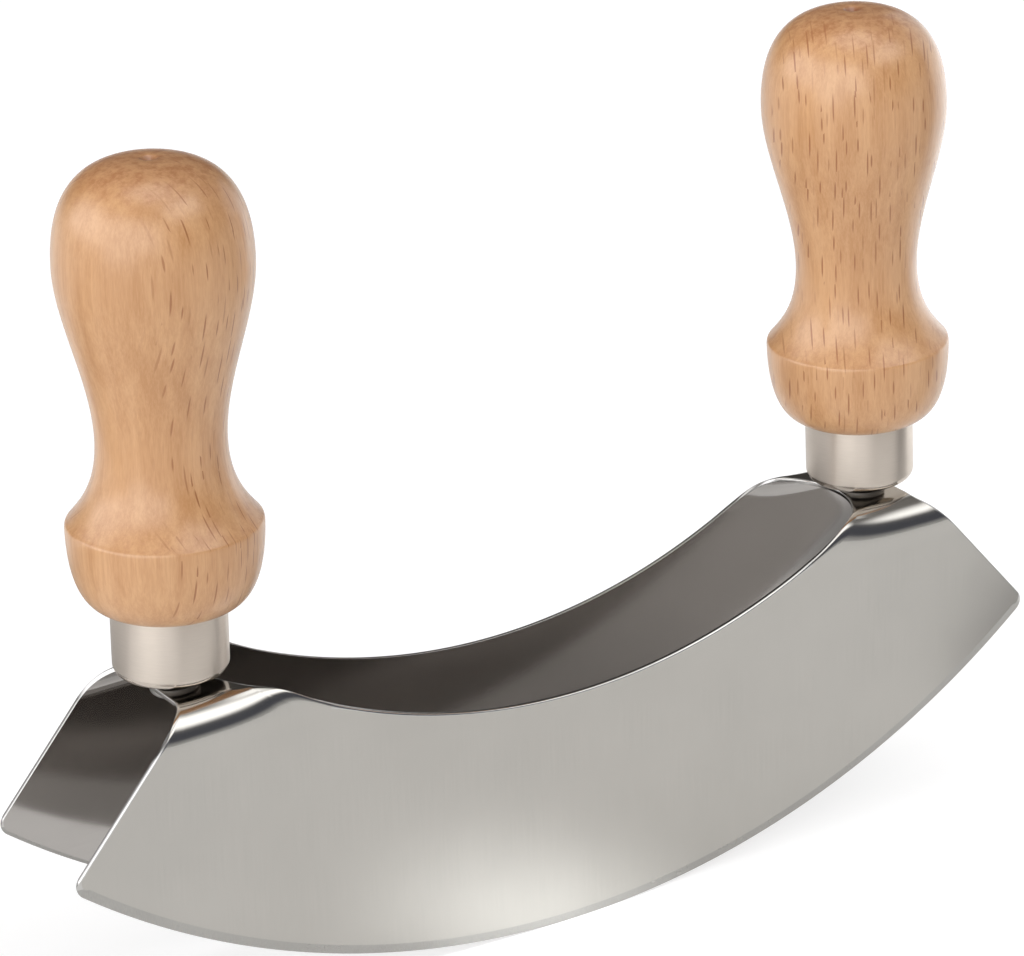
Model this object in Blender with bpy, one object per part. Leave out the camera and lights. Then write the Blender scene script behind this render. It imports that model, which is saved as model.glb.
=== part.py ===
"""Double-bladed mezzaluna with two upright turned handles.

One steel sheet is cut to a flat blank and folded into a U: two curved blades joined by a narrow
bridge at each end. A turned beech handle with a drawn steel ferrule stands on each bridge, on a
spacer washer, and a screw from below pulls the four together.

X runs along the blades, Y across them and Z up. The origin is midway between the blades, on the
surface that the two cutting edges rest on. Sizes are in metres.
"""

import math

import bmesh
import bpy
from mathutils import Vector

MM = 0.001

# Folded sheet
SHEET_THICKNESS = 1.0 * MM
BLADES_OUTSIDE_WIDTH = 31.5 * MM
TIP_SPAN = 216.4 * MM
CUTTING_EDGE_RADIUS = 172.0 * MM
BRIDGE_HEIGHT = 66.2 * MM
FOLD_RADIUS = 7.0 * MM
SADDLE_DROP = 18.4 * MM
NOSE_RADIUS = 15.0 * MM
BRIDGE_STRAIGHT_LENGTH = 22.0 * MM
END_HOLLOW_RADIUS = 5.0 * MM
TIP_RADIUS = 2.6 * MM

# The bridge, from its screw hole's centre in to the opening and out to the end of the blade
BRIDGE_INNER_REACH = 5.8 * MM
BRIDGE_OUTER_REACH = 4.5 * MM

# Edges of the sheet
GRIND_WIDTH = 1.9 * MM
CUTTING_EDGE_THICKNESS = 0.14 * MM
EDGE_BREAK = 0.24 * MM

# Where the handles stand, in from the tips
HANDLE_INSET = 30.3 * MM
HANDLE_TOE_IN = math.radians(1.3)

# Clearances
SEAT_GAP = 0.3 * MM
SCREW_HOLE_CLEARANCE = 0.35 * MM
CUT_OVERRUN = 2.0 * MM
MERGE_SHARE = 0.001

# Turned handle, from the ferrule up
BOWL_HEIGHT = 16.0 * MM
FLARE_HEIGHT = 15.6 * MM
NECK_HEIGHT = 32.6 * MM
CROWN_HEIGHT = 18.9 * MM
RIDGE_DIAMETER = 35.8 * MM
WAIST_DIAMETER = 23.6 * MM
BULB_DIAMETER = 35.7 * MM
RIDGE_BREAK = 0.55 * MM
LATHE_MARK_DIAMETER = 3.2 * MM
LATHE_MARK_DEPTH = 1.1 * MM
TENON_LENGTH = 11.0 * MM

# How far each curve of the handle's outline keeps the direction it starts or ends with, as shares
# of the width or height that the curve spans
CROWN_FLAT_SHARE = 0.84
CROWN_SIDE_SHARE = 0.51
NECK_TOP_SHARE = 0.30
NECK_FOOT_SHARE = 0.345
FLARE_TOP_SHARE = 0.53
FLARE_FOOT_WIDTH_SHARE = 0.51
FLARE_FOOT_HEIGHT_SHARE = 0.23
BOWL_SIDE_SHARE = 0.45
BOWL_FOOT_SHARE = 0.80

# Drawn ferrule
FERRULE_DIAMETER = 21.3 * MM
FERRULE_HEIGHT = 12.9 * MM
FERRULE_WALL = 0.8 * MM
FERRULE_FOOT_RADIUS = 1.9 * MM
FERRULE_LIP_RADIUS = 0.3 * MM

# Spacer washer and screw
WASHER_DIAMETER = 10.0 * MM
WASHER_THICKNESS = 1.2 * MM
WASHER_EDGE_BREAK = 0.15 * MM
SCREW_DIAMETER = 4.8 * MM
SCREW_LENGTH = 36.0 * MM
SCREW_POINT_LENGTH = 5.0 * MM
SCREW_HEAD_DIAMETER = 8.2 * MM
SCREW_HEAD_HEIGHT = 2.1 * MM
SCREW_HEAD_RIM = 0.6 * MM

# How finely the curves are divided
BRIDGE_STEPS = 6
FOLD_STEPS = 12
SADDLE_STEPS = 24
END_STEPS = 4
TIP_STEPS = 6
CUTTING_EDGE_STEPS = 44
CURVE_STEPS = 8
HANDLE_SIDES = 40
FERRULE_SIDES = 36
WASHER_SIDES = 24
SCREW_SIDES = 24
HOLE_SIDES = 32
FOOT_STEPS = 4
LIP_STEPS = 2
DOME_STEPS = 5

SMOOTH_SHEET_ANGLE = math.radians(10)
SMOOTH_ROUND_ANGLE = math.radians(35)
QUARTER_TURN = math.pi / 2

# Places that follow from the sizes. Along is the distance from the bridge's middle line, measured
# on the outer face of the sheet, as if the sheet were still flat.
HANDLE_SPACING = TIP_SPAN - 2 * HANDLE_INSET
BRIDGE_FLAT_HALF = BLADES_OUTSIDE_WIDTH / 2 - FOLD_RADIUS
FOLD_END = BRIDGE_FLAT_HALF + FOLD_RADIUS * QUARTER_TURN
FOLD_END_HEIGHT = BRIDGE_HEIGHT - FOLD_RADIUS
FERRULE_LIFT = SEAT_GAP + WASHER_THICKNESS + SEAT_GAP
SEAT_HEIGHT = BRIDGE_HEIGHT + FERRULE_LIFT
SCREW_HOLE_RADIUS = SCREW_DIAMETER / 2 + SCREW_HOLE_CLEARANCE
BRIDGE_CENTRE = HANDLE_SPACING / 2 + (FERRULE_LIFT + SHEET_THICKNESS / 2) * math.tan(HANDLE_TOE_IN)
BRIDGE_INNER_END = BRIDGE_CENTRE - BRIDGE_INNER_REACH
BRIDGE_OUTER_END = BRIDGE_CENTRE + BRIDGE_OUTER_REACH

# The opening between the bridges: a nose arc at each end, tangent to one long arc on each blade
NOSE_CENTRE = BRIDGE_INNER_END - NOSE_RADIUS
SADDLE_ALONG = FOLD_END + SADDLE_DROP - FOLD_RADIUS
SADDLE_RADIUS = (NOSE_CENTRE**2 + SADDLE_ALONG**2 - NOSE_RADIUS**2) / (2 * (SADDLE_ALONG - NOSE_RADIUS))
SADDLE_CENTRE_ALONG = SADDLE_ALONG - SADDLE_RADIUS
NOSE_END_ALONG = -SADDLE_CENTRE_ALONG * NOSE_RADIUS / (SADDLE_RADIUS - NOSE_RADIUS)

# The blade's end: straight across the bridge, a hollow, then one line out to the tip
CUTTING_CENTRE_ALONG = FOLD_END + FOLD_END_HEIGHT - CUTTING_EDGE_RADIUS
TIP_ALONG = CUTTING_CENTRE_ALONG + math.sqrt(CUTTING_EDGE_RADIUS**2 - (TIP_SPAN / 2) ** 2)
END_CORNER_ALONG = BRIDGE_STRAIGHT_LENGTH / 2
END_ANGLE = math.atan2(TIP_SPAN / 2 - BRIDGE_OUTER_END, TIP_ALONG - END_CORNER_ALONG)
END_HOLLOW = min(END_HOLLOW_RADIUS, END_CORNER_ALONG / math.tan(END_ANGLE / 2))
HOLLOW_START = END_CORNER_ALONG - END_HOLLOW * math.tan(END_ANGLE / 2)
HOLLOW_END = HOLLOW_START + END_HOLLOW * math.sin(END_ANGLE)


def clear_scene():
    for thing in list(bpy.data.objects):
        bpy.data.objects.remove(thing, do_unlink=True)


def steel(name, colour, roughness):
    return surface(name, colour, roughness, metallic=1.0)


def surface(name, colour, roughness, metallic):
    material = bpy.data.materials.new(name)
    material.use_nodes = True
    shader = material.node_tree.nodes["Principled BSDF"]
    shader.inputs["Base Color"].default_value = (*colour, 1.0)
    shader.inputs["Roughness"].default_value = roughness
    shader.inputs["Metallic"].default_value = metallic
    material.diffuse_color = (*colour, 1.0)
    return material


def add_object(name, mesh_maker, material, smooth_angle, parent=None):
    """Make one named object from a function that fills a bmesh, with its faces pointing out."""
    mesh = bpy.data.meshes.new(name)
    bm = bmesh.new()
    mesh_maker(bm)
    bmesh.ops.recalc_face_normals(bm, faces=bm.faces)
    bm.to_mesh(mesh)
    bm.free()
    mesh.shade_smooth()
    mesh.set_sharp_from_angle(angle=smooth_angle)
    mesh.materials.append(material)
    thing = bpy.data.objects.new(name, mesh)
    bpy.context.scene.collection.objects.link(thing)
    thing.parent = parent
    return thing


def folded(x, along, depth):
    """Where a point of the flat blank lies after folding; depth is its distance under the outer face."""
    side = math.copysign(1, along)
    reach = abs(along)
    if reach <= BRIDGE_FLAT_HALF:
        return Vector((x, along, BRIDGE_HEIGHT - depth))
    turn = (reach - BRIDGE_FLAT_HALF) / FOLD_RADIUS
    if turn >= QUARTER_TURN:
        height = FOLD_END_HEIGHT - (reach - FOLD_END)
        return Vector((x, side * (BLADES_OUTSIDE_WIDTH / 2 - depth), height))
    radius = FOLD_RADIUS - depth
    across = BRIDGE_FLAT_HALF + radius * math.sin(turn)
    return Vector((x, side * across, FOLD_END_HEIGHT + radius * math.cos(turn)))


def opening_x(along):
    """Half-length of the opening between the bridges at this distance from the middle line."""
    if along <= NOSE_END_ALONG:
        return NOSE_CENTRE + math.sqrt(NOSE_RADIUS**2 - along**2)
    return math.sqrt(SADDLE_RADIUS**2 - (along - SADDLE_CENTRE_ALONG) ** 2)


def end_x(along):
    """Half-length of the whole blank at this distance from the middle line, short of the tip."""
    if along <= HOLLOW_START:
        return BRIDGE_OUTER_END
    if along <= HOLLOW_END:
        return BRIDGE_OUTER_END + END_HOLLOW - math.sqrt(END_HOLLOW**2 - (along - HOLLOW_START) ** 2)
    return BRIDGE_OUTER_END + (along - END_CORNER_ALONG) * math.tan(END_ANGLE)


def bridge_stations():
    """Distances from the middle line to the end of the fold, at which both edges get a point."""
    flat = [BRIDGE_FLAT_HALF * step / BRIDGE_STEPS for step in range(BRIDGE_STEPS)]
    fold = FOLD_END - BRIDGE_FLAT_HALF
    return flat + [BRIDGE_FLAT_HALF + fold * step / FOLD_STEPS for step in range(FOLD_STEPS + 1)]


def opening_quarter():
    """A quarter of the opening's edge, from the nose to the middle of the blade."""
    points = [(opening_x(along), along) for along in bridge_stations()]
    start = math.asin(points[-1][0] / SADDLE_RADIUS)
    for step in range(1, SADDLE_STEPS + 1):
        angle = start * (1 - step / SADDLE_STEPS)
        along = SADDLE_CENTRE_ALONG + SADDLE_RADIUS * math.cos(angle)
        points.append((SADDLE_RADIUS * math.sin(angle), along))
    return [(x, along, 0.0) for x, along in points]


def tip_fillet():
    """Centre of the tip's rounding, the angle where it leaves the end line, and where it meets the edge."""
    line = Vector((math.sin(END_ANGLE), math.cos(END_ANGLE)))
    inward = Vector((-math.cos(END_ANGLE), math.sin(END_ANGLE)))
    cutting_centre = Vector((0, CUTTING_CENTRE_ALONG))
    offset = Vector((BRIDGE_OUTER_END, END_CORNER_ALONG)) + TIP_RADIUS * inward - cutting_centre
    reach = CUTTING_EDGE_RADIUS - TIP_RADIUS
    middle = offset.dot(line)
    run = -middle + math.sqrt(middle**2 - offset.length_squared + reach**2)
    centre = cutting_centre + offset + run * line
    towards_edge = centre - cutting_centre
    return centre, math.atan2(-inward.y, -inward.x), math.atan2(towards_edge.y, towards_edge.x)


def outer_quarter():
    """A quarter of the blank's outline, from the bridge's end round the tip to the cutting edge's middle.

    The third value says how much of the full grind the edge has there.
    """
    points = [(end_x(along), along, 0.0) for along in bridge_stations()]
    centre, line_angle, edge_angle = tip_fillet()
    tip_start = centre.y + TIP_RADIUS * math.sin(line_angle)
    for step in range(1, END_STEPS):
        along = FOLD_END + (tip_start - FOLD_END) * step / END_STEPS
        points.append((end_x(along), along, 0.0))
    for step in range(TIP_STEPS + 1):
        share = step / TIP_STEPS
        angle = line_angle + (edge_angle - line_angle) * share
        x = centre.x + TIP_RADIUS * math.cos(angle)
        points.append((x, centre.y + TIP_RADIUS * math.sin(angle), share))
    for step in range(1, CUTTING_EDGE_STEPS + 1):
        angle = edge_angle + (QUARTER_TURN - edge_angle) * step / CUTTING_EDGE_STEPS
        x = CUTTING_EDGE_RADIUS * math.cos(angle)
        points.append((x, CUTTING_CENTRE_ALONG + CUTTING_EDGE_RADIUS * math.sin(angle), 1.0))
    return points


def whole_loop(quarter):
    """Mirror a quarter outline into all four, without doubling the points on the two middle lines."""
    left = [(-x, along, share) for x, along, share in quarter[-2::-1]]
    front_left = [(-x, -along, share) for x, along, share in quarter[1:]]
    front_right = [(x, -along, share) for x, along, share in quarter[-2:0:-1]]
    return quarter + left + front_left + front_right


def edge_rings(bm, loop, material_side):
    """Four rings of points round one edge of the sheet: each face, drawn back, and the edge between them."""
    rings = [[], [], [], []]
    for index, (x, along, share) in enumerate(loop):
        before, after = loop[index - 1], loop[(index + 1) % len(loop)]
        run = Vector((after[0] - before[0], after[1] - before[1])).normalized()
        inward = material_side * Vector((-run.y, run.x))
        inset = EDGE_BREAK + (GRIND_WIDTH - EDGE_BREAK) * share
        plain = SHEET_THICKNESS / 2 - EDGE_BREAK
        half = plain + (CUTTING_EDGE_THICKNESS / 2 - plain) * share
        middle = SHEET_THICKNESS / 2
        face_point = (x + inset * inward.x, along + inset * inward.y)
        rings[0].append(bm.verts.new(folded(*face_point, 0)))
        rings[1].append(bm.verts.new(folded(x, along, middle - half)))
        rings[2].append(bm.verts.new(folded(x, along, middle + half)))
        rings[3].append(bm.verts.new(folded(*face_point, SHEET_THICKNESS)))
    for lower, upper in zip(rings, rings[1:]):
        for index in range(len(loop)):
            last = index - 1
            bm.faces.new((lower[last], lower[index], upper[index], upper[last]))
    return rings


def sheet_face(bm, outer, opening, stations):
    """One whole face of the folded sheet: strips across both bridges and one flat face for each blade."""
    outer_turn = len(outer) // 2
    opening_turn = len(opening) // 2
    for index in range(-stations, stations):
        right = (opening[index], outer[index], outer[index + 1], opening[index + 1])
        bm.faces.new(right)
        left_opening = [opening[opening_turn - index - step] for step in (0, 1)]
        left_outer = [outer[outer_turn - index - step] for step in (0, 1)]
        bm.faces.new((left_opening[0], left_outer[0], left_outer[1], left_opening[1]))
    rear_edge = outer[stations : outer_turn - stations + 1]
    rear_opening = opening[stations : opening_turn - stations + 1]
    bm.faces.new(rear_edge + rear_opening[::-1])
    front_edge = outer[outer_turn + stations : len(outer) - stations + 1]
    front_opening = opening[opening_turn + stations : len(opening) - stations + 1]
    bm.faces.new(front_edge + front_opening[::-1])


def make_folded_sheet(bm):
    """The one-piece double blade: a flat blank's outline, ground at its cutting edges and folded twice."""
    outer = edge_rings(bm, whole_loop(outer_quarter()), 1)
    opening = edge_rings(bm, whole_loop(opening_quarter()), -1)
    stations = BRIDGE_STEPS + FOLD_STEPS
    sheet_face(bm, outer[0], opening[0], stations)
    sheet_face(bm, outer[3], opening[3], stations)


def cut_screw_hole(sheet, side):
    """Bore the screw's hole through one bridge."""
    name = "screw_hole_cutter_right" if side > 0 else "screw_hole_cutter_left"
    depth = SHEET_THICKNESS + 2 * CUT_OVERRUN

    def cylinder(bm):
        bmesh.ops.create_cone(
            bm,
            cap_ends=True,
            segments=HOLE_SIDES,
            radius1=SCREW_HOLE_RADIUS,
            radius2=SCREW_HOLE_RADIUS,
            depth=depth,
        )

    cutter = add_object(name, cylinder, sheet.data.materials[0], SMOOTH_ROUND_ANGLE)
    cutter.location = (side * BRIDGE_CENTRE, 0, BRIDGE_HEIGHT - SHEET_THICKNESS / 2)
    cutter.hide_render = True
    cutter.display_type = "WIRE"
    hole = sheet.modifiers.new(name, "BOOLEAN")
    hole.operation = "DIFFERENCE"
    hole.solver = "EXACT"
    hole.object = cutter


def curve(start, start_control, end_control, end):
    """Points along a cubic curve, without its first."""
    points = []
    for step in range(1, CURVE_STEPS + 1):
        t = step / CURVE_STEPS
        weights = ((1 - t) ** 3, 3 * t * (1 - t) ** 2, 3 * t**2 * (1 - t), t**3)
        corners = (start, start_control, end_control, end)
        radius = sum(weight * corner[0] for weight, corner in zip(weights, corners))
        height = sum(weight * corner[1] for weight, corner in zip(weights, corners))
        points.append((radius, height))
    return points


def arc(centre, radius, start, end, steps):
    """Points along a round corner, both ends included."""
    angles = [start + (end - start) * step / steps for step in range(steps + 1)]
    return [(centre[0] + radius * math.cos(a), centre[1] + radius * math.sin(a)) for a in angles]


def turn(bm, profile, sides):
    """Turn a profile of radius and height about the upright axis; its ends on the axis become poles."""
    points = [bm.verts.new((radius, 0, height)) for radius, height in profile]
    edges = [bm.edges.new(pair) for pair in zip(points, points[1:])]
    if profile[0][0] and profile[-1][0]:
        edges.append(bm.edges.new((points[-1], points[0])))
    bmesh.ops.spin(
        bm,
        geom=points + edges,
        cent=(0, 0, 0),
        axis=(0, 0, 1),
        angle=2 * math.pi,
        steps=sides,
        use_merge=True,
    )
    bmesh.ops.remove_doubles(bm, verts=bm.verts, dist=SEAT_GAP * MERGE_SHARE)


def handle_profile():
    """Outline of the turned handle, from the crown down its side to the tenon, and up its bore.

    It starts in the small hollow that the lathe's centre leaves in the crown.
    """
    bulb, waist = BULB_DIAMETER / 2, WAIST_DIAMETER / 2
    ridge, foot = RIDGE_DIAMETER / 2, FERRULE_DIAMETER / 2
    foot_height = FERRULE_HEIGHT + SEAT_GAP
    ridge_height = foot_height + BOWL_HEIGHT
    waist_height = ridge_height + FLARE_HEIGHT
    bulb_height = waist_height + NECK_HEIGHT
    top = bulb_height + CROWN_HEIGHT
    flare = ridge - waist

    lathe_mark = LATHE_MARK_DIAMETER / 2
    outline = [(0, top - LATHE_MARK_DEPTH), (lathe_mark, top)]
    outline += curve(
        (lathe_mark, top),
        (bulb * CROWN_FLAT_SHARE, top),
        (bulb, bulb_height + CROWN_HEIGHT * CROWN_SIDE_SHARE),
        (bulb, bulb_height),
    )
    outline += curve(
        (bulb, bulb_height),
        (bulb, bulb_height - NECK_HEIGHT * NECK_TOP_SHARE),
        (waist, waist_height + NECK_HEIGHT * NECK_FOOT_SHARE),
        (waist, waist_height),
    )
    outline += curve(
        (waist, waist_height),
        (waist, waist_height - FLARE_HEIGHT * FLARE_TOP_SHARE),
        (ridge - flare * FLARE_FOOT_WIDTH_SHARE, ridge_height + FLARE_HEIGHT * FLARE_FOOT_HEIGHT_SHARE),
        (ridge - RIDGE_BREAK, ridge_height + RIDGE_BREAK),
    )
    outline.append((ridge, ridge_height - RIDGE_BREAK))
    outline += curve(
        (ridge, ridge_height - RIDGE_BREAK),
        (ridge, ridge_height - BOWL_HEIGHT * BOWL_SIDE_SHARE),
        (foot + (ridge - foot) * BOWL_FOOT_SHARE, foot_height),
        (foot, foot_height),
    )

    tenon = foot - FERRULE_WALL - SEAT_GAP
    tenon_foot = max(foot_height - TENON_LENGTH, FERRULE_WALL + SEAT_GAP)
    bore = SCREW_DIAMETER / 2 + SEAT_GAP
    bore_top = screw_tip() + SEAT_GAP
    outline += [(tenon, foot_height), (tenon, tenon_foot), (bore, tenon_foot)]
    outline += [(bore, bore_top - SCREW_POINT_LENGTH), (0, bore_top)]
    return outline


def screw_seat():
    """Height of the screw head's underside, below the handle's own zero at the ferrule's foot."""
    return -(FERRULE_LIFT + SHEET_THICKNESS + SEAT_GAP)


def screw_tip():
    return screw_seat() + SCREW_LENGTH


def ferrule_profile():
    """Closed outline of the drawn cup: down its outside, in under its foot and up its inside."""
    outer = FERRULE_DIAMETER / 2
    inner = outer - FERRULE_WALL
    lip = min(FERRULE_LIP_RADIUS, FERRULE_WALL / 2)
    inside_foot_radius = FERRULE_FOOT_RADIUS - FERRULE_WALL
    outline = arc((outer - lip, FERRULE_HEIGHT - lip), lip, QUARTER_TURN, 0, LIP_STEPS)
    foot_centre = (outer - FERRULE_FOOT_RADIUS, FERRULE_FOOT_RADIUS)
    outline += arc(foot_centre, FERRULE_FOOT_RADIUS, 0, -QUARTER_TURN, FOOT_STEPS)
    outline += [(SCREW_HOLE_RADIUS, 0), (SCREW_HOLE_RADIUS, FERRULE_WALL)]
    outline += arc(foot_centre, inside_foot_radius, -QUARTER_TURN, 0, FOOT_STEPS)
    outline.append((inner, FERRULE_HEIGHT))
    return outline


def washer_profile():
    """Closed outline of the spacer washer, with its two outer corners broken."""
    outer, inner = WASHER_DIAMETER / 2, SCREW_HOLE_RADIUS
    top = -SEAT_GAP
    foot = top - WASHER_THICKNESS
    return [
        (inner, top),
        (outer - WASHER_EDGE_BREAK, top),
        (outer, top - WASHER_EDGE_BREAK),
        (outer, foot + WASHER_EDGE_BREAK),
        (outer - WASHER_EDGE_BREAK, foot),
        (inner, foot),
    ]


def screw_profile():
    """Outline of the screw, from its point down the shank and over the domed head."""
    shank, head = SCREW_DIAMETER / 2, SCREW_HEAD_DIAMETER / 2
    seat, tip = screw_seat(), screw_tip()
    dome_height = SCREW_HEAD_HEIGHT - SCREW_HEAD_RIM
    outline = [(0, tip), (shank, tip - SCREW_POINT_LENGTH), (shank, seat), (head, seat)]
    for step in range(DOME_STEPS + 1):
        angle = QUARTER_TURN * step / DOME_STEPS
        drop = SCREW_HEAD_RIM + dome_height * math.sin(angle)
        outline.append((head * math.cos(angle) if step < DOME_STEPS else 0, seat - drop))
    return outline


def turned_piece(name, profile, sides, material, parent):
    def maker(bm):
        turn(bm, profile, sides)

    return add_object(name, maker, material, SMOOTH_ROUND_ANGLE, parent)


def stand_handle(side_name, side, materials):
    """One handle with its ferrule, washer and screw, on an empty at the ferrule's foot."""
    axis = bpy.data.objects.new(f"{side_name}_handle_axis", None)
    bpy.context.scene.collection.objects.link(axis)
    axis.location = (side * HANDLE_SPACING / 2, 0, SEAT_HEIGHT)
    axis.rotation_euler = (0, -side * HANDLE_TOE_IN, 0)
    turned_piece(f"{side_name}_handle", handle_profile(), HANDLE_SIDES, materials["beech"], axis)
    turned_piece(f"{side_name}_ferrule", ferrule_profile(), FERRULE_SIDES, materials["ferrule"], axis)
    turned_piece(f"{side_name}_washer", washer_profile(), WASHER_SIDES, materials["washer"], axis)
    turned_piece(f"{side_name}_screw", screw_profile(), SCREW_SIDES, materials["screw"], axis)


def build():
    clear_scene()
    blade_steel = steel("satin_blade_steel", (0.60, 0.59, 0.57), 0.28)
    materials = {
        "beech": surface("lacquered_beech", (0.68, 0.42, 0.24), 0.38, metallic=0.0),
        "ferrule": steel("satin_ferrule_steel", (0.66, 0.62, 0.57), 0.30),
        "washer": steel("washer_steel", (0.55, 0.54, 0.52), 0.35),
        "screw": steel("screw_steel", (0.58, 0.57, 0.55), 0.30),
    }
    sheet = add_object("double_blade", make_folded_sheet, blade_steel, SMOOTH_SHEET_ANGLE)
    for side_name, side in (("left", -1), ("right", 1)):
        cut_screw_hole(sheet, side)
        stand_handle(side_name, side, materials)


build()
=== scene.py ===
# %% [markdown]
# # A double-bladed mezzaluna
#
# This lesson dresses the solids of a mezzaluna: two curved blades folded from one sheet of
# stainless steel, with an upright turned beech handle on the bridge at each end. The solids are
# loaded first and stay where they are. Every piece that is made here rides on them.
#
# A solid that was made for measuring has flat facets. Polished steel and lacquered wood show each
# facet, so the shapes are made again here with more steps, from the same sizes, and each one
# stands for its solid.

# %% Load the solids
import math

import bmesh
import bpy
from mathutils import Matrix, Vector


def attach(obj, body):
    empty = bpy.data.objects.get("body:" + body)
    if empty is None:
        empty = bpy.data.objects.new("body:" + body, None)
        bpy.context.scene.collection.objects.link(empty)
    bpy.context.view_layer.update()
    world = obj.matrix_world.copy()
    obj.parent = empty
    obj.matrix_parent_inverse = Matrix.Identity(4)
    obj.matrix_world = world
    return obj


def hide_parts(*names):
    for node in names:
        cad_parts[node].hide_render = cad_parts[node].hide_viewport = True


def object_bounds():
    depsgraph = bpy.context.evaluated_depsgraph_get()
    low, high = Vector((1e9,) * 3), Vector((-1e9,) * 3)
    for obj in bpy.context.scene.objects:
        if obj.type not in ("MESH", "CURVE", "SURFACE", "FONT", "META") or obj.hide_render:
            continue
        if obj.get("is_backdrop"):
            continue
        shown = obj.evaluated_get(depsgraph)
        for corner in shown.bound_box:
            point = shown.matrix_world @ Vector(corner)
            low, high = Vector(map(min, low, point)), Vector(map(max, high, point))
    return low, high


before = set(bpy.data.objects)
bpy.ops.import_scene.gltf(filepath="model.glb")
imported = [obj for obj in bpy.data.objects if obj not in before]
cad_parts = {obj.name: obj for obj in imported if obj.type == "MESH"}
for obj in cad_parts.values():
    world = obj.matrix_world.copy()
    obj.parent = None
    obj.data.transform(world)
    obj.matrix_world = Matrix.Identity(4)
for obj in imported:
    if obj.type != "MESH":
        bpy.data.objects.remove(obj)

cad_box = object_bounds()
mm = 0.001
quarter_turn = math.pi / 2
side_signs = {"left": -1, "right": 1}


def add_object(name, data):
    new_object = bpy.data.objects.new(name, data)
    bpy.context.scene.collection.objects.link(new_object)
    return new_object


print("solids:", ", ".join(sorted(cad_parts)))

# %% [markdown]
# ## The camera
#
# The camera stands where the photographer stood: in front of the left handle, looking 22 degrees
# down. It could be placed by eye, but the outlines of two blades and two handles are enough to
# work the place out, so the numbers below are measured. A long lens from 0.76 m keeps the far
# handle nearly as tall as the near one.

# %% Camera
image_width_px = 1024
focal_length_px = 4048.5
sensor_width_mm = 36
camera_turn, camera_tilt, camera_roll = (math.radians(a) for a in (32.035, 22.074, -1.794))
camera_distance = 0.7612
camera_aim = Vector((-4.0 * mm, 0, 87.15 * mm))

ahead = Vector((
    math.sin(camera_turn) * math.cos(camera_tilt),
    math.cos(camera_turn) * math.cos(camera_tilt),
    -math.sin(camera_tilt),
))
level_right = Vector((math.cos(camera_turn), -math.sin(camera_turn), 0))
level_up = level_right.cross(ahead)
right = math.cos(camera_roll) * level_right + math.sin(camera_roll) * level_up
up = math.cos(camera_roll) * level_up - math.sin(camera_roll) * level_right

camera_data = bpy.data.cameras.new("photo_camera")
camera_data.sensor_width = sensor_width_mm
camera_data.lens = focal_length_px * sensor_width_mm / image_width_px
camera_data.clip_start = 10 * mm
camera_data.clip_end = 20
camera = add_object("photo_camera", camera_data)
camera.matrix_world = Matrix((right, up, -ahead)).transposed().to_4x4()
camera.matrix_world.translation = camera_aim - camera_distance * ahead
bpy.context.scene.camera = camera
print("lens:", round(camera_data.lens, 1), "mm")

# %% [markdown]
# ## The blank of the double blade
#
# On the real object both blades and both bridges are one sheet, blanked out flat and folded along
# four lines. It could be built as a box and cut, but a folded sheet keeps its true thickness and
# its smooth bend only when it is drawn flat first. Each point of the flat outline has a length x
# and a distance along the sheet from the bridge's middle line. A single function then folds it.

# %% Sizes of the blank
sheet_thickness = 1.0 * mm
blades_outside_width = 31.5 * mm
tip_span = 216.4 * mm
cutting_edge_radius = 172.0 * mm
bridge_height = 66.2 * mm
fold_radius = 7.0 * mm
saddle_drop = 18.4 * mm
bridge_inner_reach, bridge_outer_reach = 5.8 * mm, 4.5 * mm
nose_radius = 15.0 * mm
bridge_straight_length = 22.0 * mm
end_hollow = 5.0 * mm
tip_radius = 2.6 * mm
handle_inset = 30.3 * mm
handle_toe_in = math.radians(1.3)
seat_gap = 0.3 * mm
washer_thickness = 1.2 * mm

bridge_flat_half = blades_outside_width / 2 - fold_radius
fold_end = bridge_flat_half + fold_radius * quarter_turn
fold_end_height = bridge_height - fold_radius
ferrule_lift = seat_gap + washer_thickness + seat_gap
seat_height = bridge_height + ferrule_lift
handle_x = tip_span / 2 - handle_inset
bridge_centre = handle_x + (ferrule_lift + sheet_thickness / 2) * math.tan(handle_toe_in)
bridge_outer_end = bridge_centre + bridge_outer_reach
print("seat height:", round(seat_height / mm, 2), "mm")

# %% [markdown]
# The opening between the bridges is two round noses that run smoothly into one long arc on each
# blade. Where the arcs meet follows from their radii, so the line stays smooth at any size.

# %% Outline of the opening and of the ends
nose_centre = bridge_centre - bridge_inner_reach - nose_radius
saddle_along = fold_end + saddle_drop - fold_radius
saddle_chord = nose_centre**2 + saddle_along**2 - nose_radius**2
saddle_radius = saddle_chord / (2 * (saddle_along - nose_radius))
saddle_centre = saddle_along - saddle_radius
nose_end = -saddle_centre * nose_radius / (saddle_radius - nose_radius)

cutting_centre = fold_end + fold_end_height - cutting_edge_radius
tip_along = cutting_centre + math.sqrt(cutting_edge_radius**2 - (tip_span / 2) ** 2)
end_corner = bridge_straight_length / 2
end_angle = math.atan2(tip_span / 2 - bridge_outer_end, tip_along - end_corner)
hollow_start = end_corner - end_hollow * math.tan(end_angle / 2)
hollow_end = hollow_start + end_hollow * math.sin(end_angle)


def opening_x(along):
    if along <= nose_end:
        return nose_centre + math.sqrt(nose_radius**2 - along**2)
    return math.sqrt(saddle_radius**2 - (along - saddle_centre) ** 2)


def end_x(along):
    if along <= hollow_start:
        return bridge_outer_end
    if along <= hollow_end:
        past_start = along - hollow_start
        return bridge_outer_end + end_hollow - math.sqrt(end_hollow**2 - past_start**2)
    return bridge_outer_end + (along - end_corner) * math.tan(end_angle)


print("saddle radius:", round(saddle_radius / mm, 1), "mm")

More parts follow.
